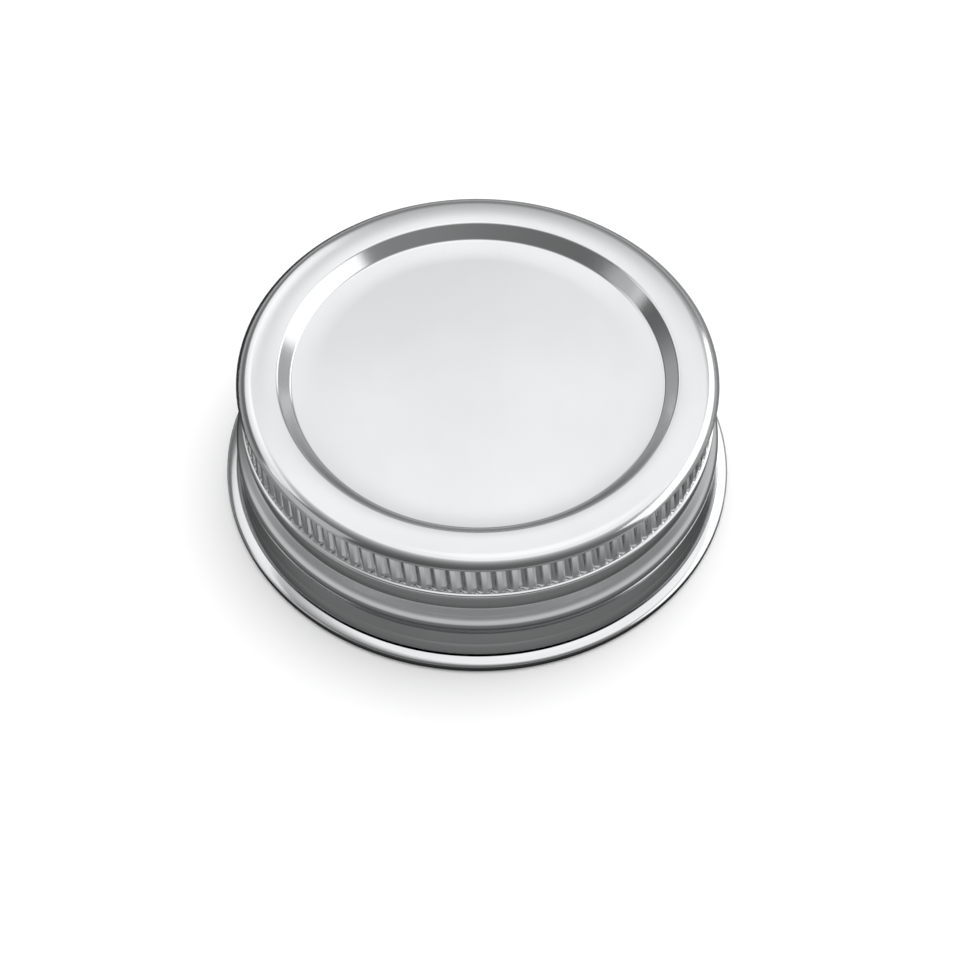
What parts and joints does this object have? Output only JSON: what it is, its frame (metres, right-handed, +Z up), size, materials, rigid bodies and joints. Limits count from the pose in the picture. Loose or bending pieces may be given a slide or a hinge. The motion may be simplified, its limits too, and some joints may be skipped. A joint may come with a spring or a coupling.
{
  "type": "metal jar screw cap",
  "caption": "Pressed metal screw cap for a glass jar, with a sunk panel, a rounded shoulder, a fluted grip band, a raised bead and a rolled rim.",
  "frame": {"origin": "on the cap's axis, in the plane that the foot of the rolled rim stands on", "axes": "Z runs up the axis from the open mouth to the closed top; X and Y lie in the plane of the mouth"},
  "size_m": [0.0746, 0.0746, 0.0224],
  "materials": {
    "tinplate": "bright rolled tinplate with a fine grain",
    "sealing_compound": "matt, slightly soft compound"
  },
  "bodies": {
    "root": {"cap_shell": "tinplate", "sealing_ring": "sealing_compound"}
  },
  "joints": []
}
